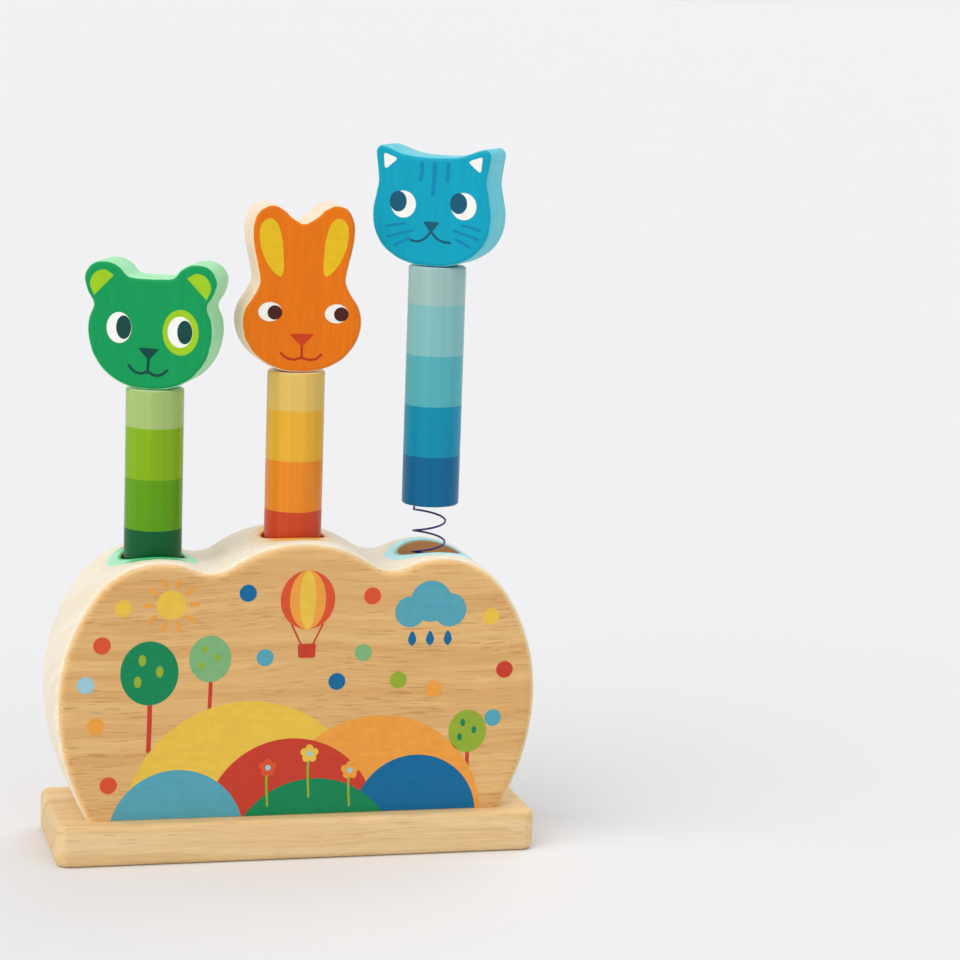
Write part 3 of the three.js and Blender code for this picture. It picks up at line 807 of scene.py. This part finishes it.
def metal_material(name, code, roughness):
    """Bare or blued metal with a slight cloudiness and fine marks."""
    material, tree, where, _ = surface(name, roughness, 1.0, shine=0.5)
    cloud = spread(tree, noise(tree, where, CLOUD_WAVES, 3), *NOISE_LIMITS)
    colour = mixed(tree, cloud, code, darker(code, 0.75))
    gloss = (roughness - 0.06, roughness + 0.1)
    marks = noise(tree, where, MARK_WAVES, 2)
    return finished(material, colour, where, gloss, marks, METAL_RELIEF, MARK_WAVES)


def floor_material():
    """Plain pale paper with hardly any mottle."""
    material, tree, where, _ = surface("floor_paper", 0.85)
    colour = mixed(tree, noise(tree, where, PAPER_WAVES, 2), PAPER_LIGHT, PAPER_MID)
    tree.links.new(colour, tree.nodes["Principled BSDF"].inputs["Base Color"])
    return material


# Pieces of the stand

def upright_board(across, up, deep):
    return (across, deep, up)


def lying_board(across, up, deep):
    return (across, up, deep)


def make_block(material):
    drop = BLOCK_EDGE + OVERRUN
    bm = slab(block_outline(drop), block_low.y, block_high.y, BLOCK_EDGE, BLOCK_EDGE_STEPS, upright_board)
    cut_flat(bm, plate_high.z + TOUCH_GAP)
    block = finish_mesh(bm, "block_body", [material])
    bores, small_holes = bmesh.new(), bmesh.new()
    for name in FIGURES:
        x = middle_x(f"{name}_peg")
        in_the_middle = abs(x) < PEG_PITCH / 2
        lobe_z = middle_lobe_height if in_the_middle else side_lobe_height
        lobe_radius = MIDDLE_LOBE_RADIUS if in_the_middle else SIDE_LOBE_RADIUS
        floor = spring_floors[f"{name}_spring"]
        add_bore(bores, x, floor, lobe_z, lobe_radius)
        leg = (x + SPRING_RADIUS * math.cos(LEG_ANGLE), 0)
        socket = ((wire_hole, floor - LEG_SOCKET), (wire_hole, floor + OVERRUN))
        turned(small_holes, socket, LEG_HOLE_SIDES, leg)
    for screw in screws:
        pilot = ((pilot_hole, plate_high.z - OVERRUN), (pilot_hole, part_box(screw)[1].z + FIT_GAP))
        turned(small_holes, pilot, PILOT_HOLE_SIDES, (middle_x(screw), 0))
    subtract(block, bores)
    subtract(block, small_holes)
    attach(block, "stand")
    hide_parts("block")


def add_bore(bm, x, floor, lobe_z, lobe_radius):
    """A cutter for a bore whose lip is rounded over into its lobe's curved top. The lip ends a hair below
    the lobe, where the cut leaves a clean edge."""
    def ring(radius, drop):
        return [
            (x + across, deep, lobe_z + math.sqrt(lobe_radius**2 - across**2) - drop)
            for across, deep in circle((0, 0), radius, ROUND_SIDES)
        ]

    rings = [[(across, deep, floor) for across, deep in circle((x, 0), bore_radius, ROUND_SIDES)]]
    for i in range(LIP_STEPS + 1):
        turn = math.pi / 2 * i / LIP_STEPS
        drop = BORE_LIP * (1 - math.sin(turn)) + INK_STEP / 2
        rings.append(ring(bore_radius + BORE_LIP * (1 - math.cos(turn)), drop))
    rings.append(ring(bore_radius + BORE_LIP, -BLOCK_EDGE))
    skin(bm, rings)


def make_plate(material):
    half_x, half_y = plate_high.x - PLATE_CORNER, plate_high.y - PLATE_CORNER
    outline = []
    for turn, (side_x, side_y) in enumerate(((1, 1), (-1, 1), (-1, -1), (1, -1))):
        start = turn * math.pi / 2
        outline += arc((side_x * half_x, side_y * half_y), PLATE_CORNER, start, start + math.pi / 2,
                       PLATE_CORNER_STEPS)
    bm = slab(outline, plate_low.z, plate_high.z, PLATE_EDGE, BOARD_EDGE_STEPS, lying_board)
    plate = finish_mesh(bm, "plate_board", [material])
    holes = bmesh.new()
    sink = SCREW_HEAD_RADIUS + FIT_GAP
    hole = SCREW_SHANK_RADIUS + SCREW_HOLE_GAP
    for screw in screws:
        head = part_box(screw)[0].z
        profile = ((sink, plate_low.z - OVERRUN), (sink, head), (hole, head + SCREW_HEAD_HEIGHT),
                   (hole, plate_high.z + OVERRUN))
        turned(holes, profile, SCREW_HOLE_SIDES, (middle_x(screw), 0))
    subtract(plate, holes)
    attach(plate, "stand")
    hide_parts("base_plate")


# The print on the front: hills with trees and flowers, a sun, a balloon, a rain cloud and dots. Places
# and sizes are millimetres, across from the middle and up from the plate. Shares are of a radius.
INKS = {
    "yellow": "#EBC24B", "orange": "#EEA043", "red": "#DB5430", "crimson": "#C83F2D", "blue": "#0F6A9C",
    "sky": "#56A5B8", "pale": "#9CCBD6", "green": "#128656", "lime": "#93AE36", "sage": "#7FB47C",
}

# Each hill's ink, middle, half width and height
HILLS = (
    ("yellow", -20, 47, 45), ("orange", 31, 41, 38), ("crimson", -3, 33, 30),
    ("sky", -47, 25, 19), ("blue", 46, 24, 22), ("green", 6, 27, 14),
)

# Each tree's ink, middle, foot, crown's height, crown's radius and trunk's width
TREES = (("green", -58, 27, 57, 11, 1.8), ("sage", -35, 42, 62, 8, 1.5), ("lime", 66, 8, 31, 7.5, 1.5))
TRUNK_BEND = 0.3
CROWN_HEIGHT_SHARE = 1.12
LEAF_SIZE_SHARES = (0.13, 0.2)
LEAF_PLACE_SHARES = ((-0.4, -0.3), (0.35, 0.05), (-0.25, 0.45))

# Each flower's ink, middle, foot and height
FLOWERS = (("red", -12, 9, 19), ("yellow", 4, 12, 24), ("orange", 20, 8, 17))
FLOWER_LAYER = 8
STEM_WIDTH, STEM_BEND, STEM_FOOT = 0.9, 0.5, 5
PETALS, PETAL_REACH, PETAL_RADIUS = 5, 2.1, 1.5
HEART_RADIUS = 1.1

SUN, SUN_RADIUS = (-50, 83), 5.6
RAYS, RAY_REACHES, RAY_WIDTH = 10, (7.4, 8.7, 10), 1.4

BALLOON, BALLOON_RADIUS, BALLOON_HEIGHT_SHARE = (2, 84), 10.5, 1.08
BALLOON_STRIPE_SHARES = (("red", 1), ("orange", 0.66), ("yellow", 0.3))
ROPE, ROPE_WIDTH = ((6, -9.5), (4.1, -13.5), (2.2, -17.5)), 0.7
BASKET = ((-3.2, -22.5), (3.2, -22.5), (3.6, -17), (-3.6, -17))
BASKET_CORNER = 1

# The cloud's puffs are a place from its middle and a radius
CLOUD = (50, 80)
PUFFS = ((-8, -1.5, 6), (7.5, -1, 6.5), (0, 2.5, 8))
RAINDROPS, RAIN_FALL = (-7, 0, 7), -13
RAINDROP = ((0, 4), (-1.6, 0.4), (0, -1.8), (1.6, 0.4))

DOTS = (
    ("orange", -78, 37), ("red", -76, 68), ("blue", -21, 87), ("yellow", -68, 82), ("sky", -14, 62),
    ("sage", 24, 63), ("red", 27, 85), ("crimson", 80, 55), ("yellow", 74, 76), ("blue", 14, 52),
    ("lime", 38, 52), ("orange", 52, 48), ("pale", -82, 53), ("red", -73, 14), ("sky", 76, 36),
)
DOT_RADIUS = 3.3
FOOT_GAP = 0.2


def make_print():
    names = list(INKS)
    bm = bmesh.new()
    front = block_low.y

    def draw(code, layer, outline):
        placed = [(across * MM, plate_high.z + up * MM) for across, up in outline]
        ink(bm, placed, front, layer, names.index(code))

    for layer, (code, across, half_width, top) in enumerate(HILLS, 1):
        radius = (half_width**2 + top**2) / (2 * top)
        lean = math.asin(min(1, half_width / radius))
        if top > radius:
            lean = math.pi - lean
        hill = arc((across, FOOT_GAP + top - radius), radius, math.pi / 2 - lean, math.pi / 2 + lean,
                   HILL_STEPS)
        draw(code, layer, hill)
    draw_plants(draw)
    draw_sky(draw)
    for code, across, up in DOTS:
        draw(code, 1, circle((across, up), DOT_RADIUS, DOT_STEPS))
    printed = finish_inks(bm, "front_print", "print", INKS)
    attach(printed, "stand")


def draw_plants(draw):
    for code, across, foot, middle, radius, trunk in TREES:
        bend = (across + TRUNK_BEND, (foot + middle) / 2)
        draw("crimson", 0, stroke(((across, foot), bend, (across, middle)), trunk))
        draw(code, 2, oval((across, middle), (radius, radius * CROWN_HEIGHT_SHARE)))
        leaf_size = (radius * LEAF_SIZE_SHARES[0], radius * LEAF_SIZE_SHARES[1])
        for side, up in LEAF_PLACE_SHARES:
            leaf = (across + side * radius, middle + up * radius)
            draw("lime" if code != "lime" else "green", 3, oval(leaf, leaf_size, LEAF_STEPS))
    for code, across, foot, middle in FLOWERS:
        bend = (across - STEM_BEND, (foot + middle) / 2)
        stem = stroke(((across, foot - STEM_FOOT), bend, (across, middle)), STEM_WIDTH)
        draw("lime", FLOWER_LAYER, stem)
        for petal in range(PETALS):
            turn = math.pi / 2 + 2 * math.pi * petal / PETALS
            spot = on_circle((across, middle), PETAL_REACH, turn)
            draw(code, FLOWER_LAYER + 1 + petal, circle(spot, PETAL_RADIUS, PETAL_STEPS))
        draw("pale", FLOWER_LAYER + 2 + PETALS, circle((across, middle), HEART_RADIUS, LEAF_STEPS))


def draw_sky(draw):
    draw("yellow", 1, circle(SUN, SUN_RADIUS))
    for ray in range(RAYS):
        turn = 2 * math.pi * ray / RAYS
        path = [on_circle(SUN, reach, turn) for reach in RAY_REACHES]
        draw("orange", 1, stroke(path, RAY_WIDTH, SHORT_STROKE_STEPS))
    for layer, (code, share) in enumerate(BALLOON_STRIPE_SHARES, 1):
        stripe = (BALLOON_RADIUS * share, BALLOON_RADIUS * BALLOON_HEIGHT_SHARE)
        draw(code, layer, oval(BALLOON, stripe))
    for side in (-1, 1):
        rope = [(BALLOON[0] + side * across, BALLOON[1] + up) for across, up in ROPE]
        draw("crimson", 0, stroke(rope, ROPE_WIDTH, SHORT_STROKE_STEPS))
    basket = [(BALLOON[0] + across, BALLOON[1] + up) for across, up in BASKET]
    draw("crimson", 1, rounded(basket, BASKET_CORNER))
    for layer, (across, up, radius) in enumerate(PUFFS, 1):
        draw("sky", layer, circle((CLOUD[0] + across, CLOUD[1] + up), radius))
    for across in RAINDROPS:
        drop = (CLOUD[0] + across, CLOUD[1] + RAIN_FALL)
        loop = [(drop[0] + side, drop[1] + up) for side, up in RAINDROP]
        draw("blue", 1, spline(loop, True, LOOP_STEPS))


# Pieces of the figures

def make_peg(name, figure):
    low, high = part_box(f"{name}_peg")
    length = high.z - low.z
    inner = PEG_RADIUS - PEG_EDGE
    profile = (
        [(inner - PEG_EDGE, 0)]
        + arc((inner, PEG_EDGE), PEG_EDGE, -math.pi / 2, 0, BOARD_EDGE_STEPS)
        + arc((inner, length - PEG_EDGE), PEG_EDGE, 0, math.pi / 2, BOARD_EDGE_STEPS)
        + [(inner - PEG_EDGE, length), (dowel_hole, length), (dowel_hole, length - dowel_hole_depth)]
    )
    bm = bmesh.new()
    turned(bm, profile, ROUND_SIDES)
    peg = finish_mesh(bm, f"{name}_peg_dowel", [peg_material(name, figure, length)])
    socket = bmesh.new()
    leg = on_circle((0, 0), SPRING_RADIUS, LEG_ANGLE - figure["yaw"])
    turned(socket, ((wire_hole, -OVERRUN), (wire_hole, LEG_SOCKET)), LEG_HOLE_SIDES, leg)
    subtract(peg, socket)
    place(peg, name, low.z)
    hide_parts(f"{name}_peg")


def place(piece, name, height):
    """Stands a piece on its figure's axis at a height, turned with the figure, and lets it ride along."""
    spot = Matrix.Translation((middle_x(f"{name}_peg"), 0, height))
    piece.matrix_world = spot @ Matrix.Rotation(FIGURES[name]["yaw"], 4, "Z")
    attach(piece, f"{name}_figure")


def make_head(name, figure):
    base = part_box(f"{name}_head")[0].z
    half = [(across * figure["width"] / 2, up * figure["height"]) for across, up in figure["outline"]]
    outline = spline(mirrored(half[1:]) + half[::-1], True, HEAD_OUTLINE_STEPS)
    bm = slab(outline, -HEAD_THICKNESS / 2, HEAD_THICKNESS / 2, HEAD_EDGE, BOARD_EDGE_STEPS, upright_board)
    cut_flat(bm, 0)
    head = finish_mesh(bm, f"{name}_head_board", [head_material(name, figure)])
    hole = bmesh.new()
    turned(hole, ((dowel_hole, -OVERRUN), (dowel_hole, dowel_hole_depth)), DOWEL_HOLE_SIDES)
    subtract(head, hole)
    place(head, name, base)
    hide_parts(f"{name}_head")
    face = make_face(name, figure)
    place(face, name, base)


def make_face(name, figure):
    names = list(figure["inks"])
    bm = bmesh.new()
    for kind, code, layer, *shape in figure["features"]:
        if kind == "round":
            outline = oval(*shape)
        elif kind == "line":
            outline = stroke(*shape)
        elif kind in ("drop", "slice"):
            outline = spline(shape[0], kind == "drop", LOOP_STEPS)
        else:
            outline = rounded(*shape)
        outline = [(across * MM, up * MM) for across, up in outline]
        ink(bm, outline, -HEAD_THICKNESS / 2, layer, names.index(code))
    return finish_inks(bm, f"{name}_face", name, figure["inks"])


def spring_path(height):
    """Centre line of a spring between two faces. Unrolled onto a flat sheet, the wire is a straight
    slope between two rounded corners, and each leg runs straight on into its socket."""
    run = 2 * math.pi * SPRING_RADIUS * SPRING_CURLS
    corner = 2 * WIRE_RADIUS + WIRE_BEND
    slope = math.atan2(height - 2 * corner, run)
    reach = WIRE_BEND * math.tan((math.pi / 2 - slope) / 2)
    leg = LEG_SOCKET - FIT_GAP
    flat = [(0, -leg), (0, -leg / 2), (0, 0)]
    flat += arc((WIRE_BEND, corner - reach), WIRE_BEND, math.pi, math.pi / 2 + slope, WIRE_BEND_STEPS)
    upper_end = [(run - along, height - up) for along, up in reversed(flat)]
    steps = SPRING_CURLS * COIL_STEPS
    for i in range(2, steps - 1):
        along = run * i / steps
        flat.append((along, corner + along * math.tan(slope)))
    path = []
    for along, up in flat + upper_end:
        across, deep = on_circle((0, 0), SPRING_RADIUS, LEG_ANGLE + along / SPRING_RADIUS)
        path.append(Vector((across, deep, up)))
    return path


def wire_along(path):
    """A round wire along a path, turned as little as possible from ring to ring."""
    rings = []
    side = Vector((1, 0, 0))
    for i, point in enumerate(path):
        way = (path[min(i + 1, len(path) - 1)] - path[max(i - 1, 0)]).normalized()
        side = (side - way * side.dot(way)).normalized()
        up = way.cross(side)
        turns = [2 * math.pi * k / WIRE_SIDES for k in range(WIRE_SIDES)]
        rings.append([point + (side * math.cos(turn) + up * math.sin(turn)) * WIRE_RADIUS for turn in turns])
    bm = bmesh.new()
    skin(bm, rings)
    return bm


def make_spring(name, material):
    axis_x = middle_x(f"{name}_peg")
    floor, top = spring_floors[f"{name}_spring"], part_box(f"{name}_peg")[0].z
    path = [point + Vector((axis_x, 0, floor)) for point in spring_path(top - floor)]
    spring = finish_mesh(wire_along(path), f"{name}_spring_wire", [material], WIRE_SHARP_ANGLE)
    press = next(joint for joint in frame["joints"] if joint["name"] == f"{name}_press")
    lowest, highest = press["range_m"]
    if highest > 0:
        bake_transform(spring)
    else:
        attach(spring, "stand")
        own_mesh(spring)
    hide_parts(f"{name}_spring")


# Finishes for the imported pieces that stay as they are

def finish_packed(names, material):
    for name in names:
        for slot in frame["nodes"][name].material_slots:
            slot.material = material


# Floor, light and camera. A lamp's numbers are the way to it, its strength, its width in degrees as seen
# from the toy, and its colour.
FLOOR_RADIUS = 400
WORLD_LIGHT = 0.45
WORLD_COLOUR = (0.97, 0.98, 1.0, 1)
LAMPS = {
    "key": ((-0.7, -0.42, 0.78), 1.75, 60, (1.0, 0.985, 0.96)),
    "fill": ((0.35, -0.8, 0.48), 0.3, 40, (1.0, 1.0, 1.0)),
    "rim": ((0.5, 0.25, 0.83), 0.9, 60, (1.0, 1.0, 1.0)),
}

# The camera looks a little to the right of the toy's middle, from the photograph's side and height. The
# lens is shifted, so that its axis goes through a pixel left of the middle of the frame.
CAMERA_AZIMUTH = math.radians(-11.6)
CAMERA_ELEVATION = math.radians(10.2)
CAMERA_ROLL = math.radians(1.6)
CAMERA_DISTANCE = 1.1
CAMERA_LOOK_PAST = 24.6 * MM
FRAME_PIXELS = 960
FOCAL_PIXELS = 2873
AIM_PIXEL = (357.5, 500.3)
CAMERA_REACH = 100


def make_floor():
    bm = bmesh.new()
    bmesh.ops.create_circle(bm, cap_ends=True, segments=ROUND_SIDES, radius=FLOOR_RADIUS)
    floor = finish_mesh(bm, "floor", [floor_material()])
    floor.location.z = plate_low.z - TOUCH_GAP


def make_lamps():
    for name, (toward, strength, width, colour) in LAMPS.items():
        lamp = bpy.data.lights.new(name, "SUN")
        lamp.energy = strength
        lamp.angle = math.radians(width)
        lamp.color = colour
        made = bpy.data.objects.new(name, lamp)
        made.rotation_euler = Vector(toward).to_track_quat("Z", "Y").to_euler()
        bpy.context.scene.collection.objects.link(made)


def make_world():
    world = bpy.data.worlds.new("studio")
    bpy.context.scene.world = world
    world.use_nodes = True
    tree = world.node_tree
    background = tree.nodes["Background"]
    background.inputs["Color"].default_value = WORLD_COLOUR
    background.inputs["Strength"].default_value = WORLD_LIGHT
    seen = node(tree, "Background", {"Color": BACKDROP, "Strength": 1.0})
    path = node(tree, "LightPath")
    direct = maths(tree, "MAXIMUM", path.outputs["Is Camera Ray"], path.outputs["Is Glossy Ray"])
    direct = maths(tree, "MAXIMUM", direct, path.outputs["Is Transmission Ray"])
    chosen = node(tree, "MixShader", {0: direct, 1: background.outputs[0], 2: seen.outputs[0]})
    tree.links.new(chosen.outputs[0], tree.nodes["World Output"].inputs[0])


def make_camera():
    camera = bpy.data.cameras.new("camera")
    camera.lens = FOCAL_PIXELS / FRAME_PIXELS * camera.sensor_width
    camera.shift_x = (FRAME_PIXELS / 2 - AIM_PIXEL[0]) / FRAME_PIXELS
    camera.shift_y = (AIM_PIXEL[1] - FRAME_PIXELS / 2) / FRAME_PIXELS
    camera.clip_end = CAMERA_REACH
    out = Vector((
        math.sin(CAMERA_AZIMUTH) * math.cos(CAMERA_ELEVATION),
        -math.cos(CAMERA_AZIMUTH) * math.cos(CAMERA_ELEVATION),
        math.sin(CAMERA_ELEVATION),
    ))
    middle = Vector((0, 0, (cad_box[0].z + cad_box[1].z) / 2))
    aside = Vector((math.cos(CAMERA_AZIMUTH), math.sin(CAMERA_AZIMUTH), 0))
    back = out * CAMERA_DISTANCE - aside * CAMERA_LOOK_PAST
    turn = back.to_track_quat("Z", "Y").to_matrix().to_4x4() @ Matrix.Rotation(CAMERA_ROLL, 4, "Z")
    made = bpy.data.objects.new("camera", camera)
    made.matrix_world = Matrix.Translation(middle + out * CAMERA_DISTANCE) @ turn
    bpy.context.scene.collection.objects.link(made)
    bpy.context.scene.camera = made


make_camera()
make_world()
make_lamps()
make_floor()
make_block(block_material())
make_plate(wood_material("plate_wood", PLATE_LIGHT, PLATE_MID, 0))
make_print()
wire = metal_material("spring_wire", SPRING_BLUE, 0.36)
for figure_name, figure_data in FIGURES.items():
    make_spring(figure_name, wire)
    make_peg(figure_name, figure_data)
    make_head(figure_name, figure_data)
dowels = [f"{name}_head_dowel" for name in FIGURES]
finish_packed(dowels, wood_material("dowel_wood", DOWEL_LIGHT, DOWEL_MID, 2, 2))
finish_packed(screws, metal_material("screw_steel", SCREW_ZINC, 0.3))

bpy.context.scene.view_settings.view_transform = "Standard"
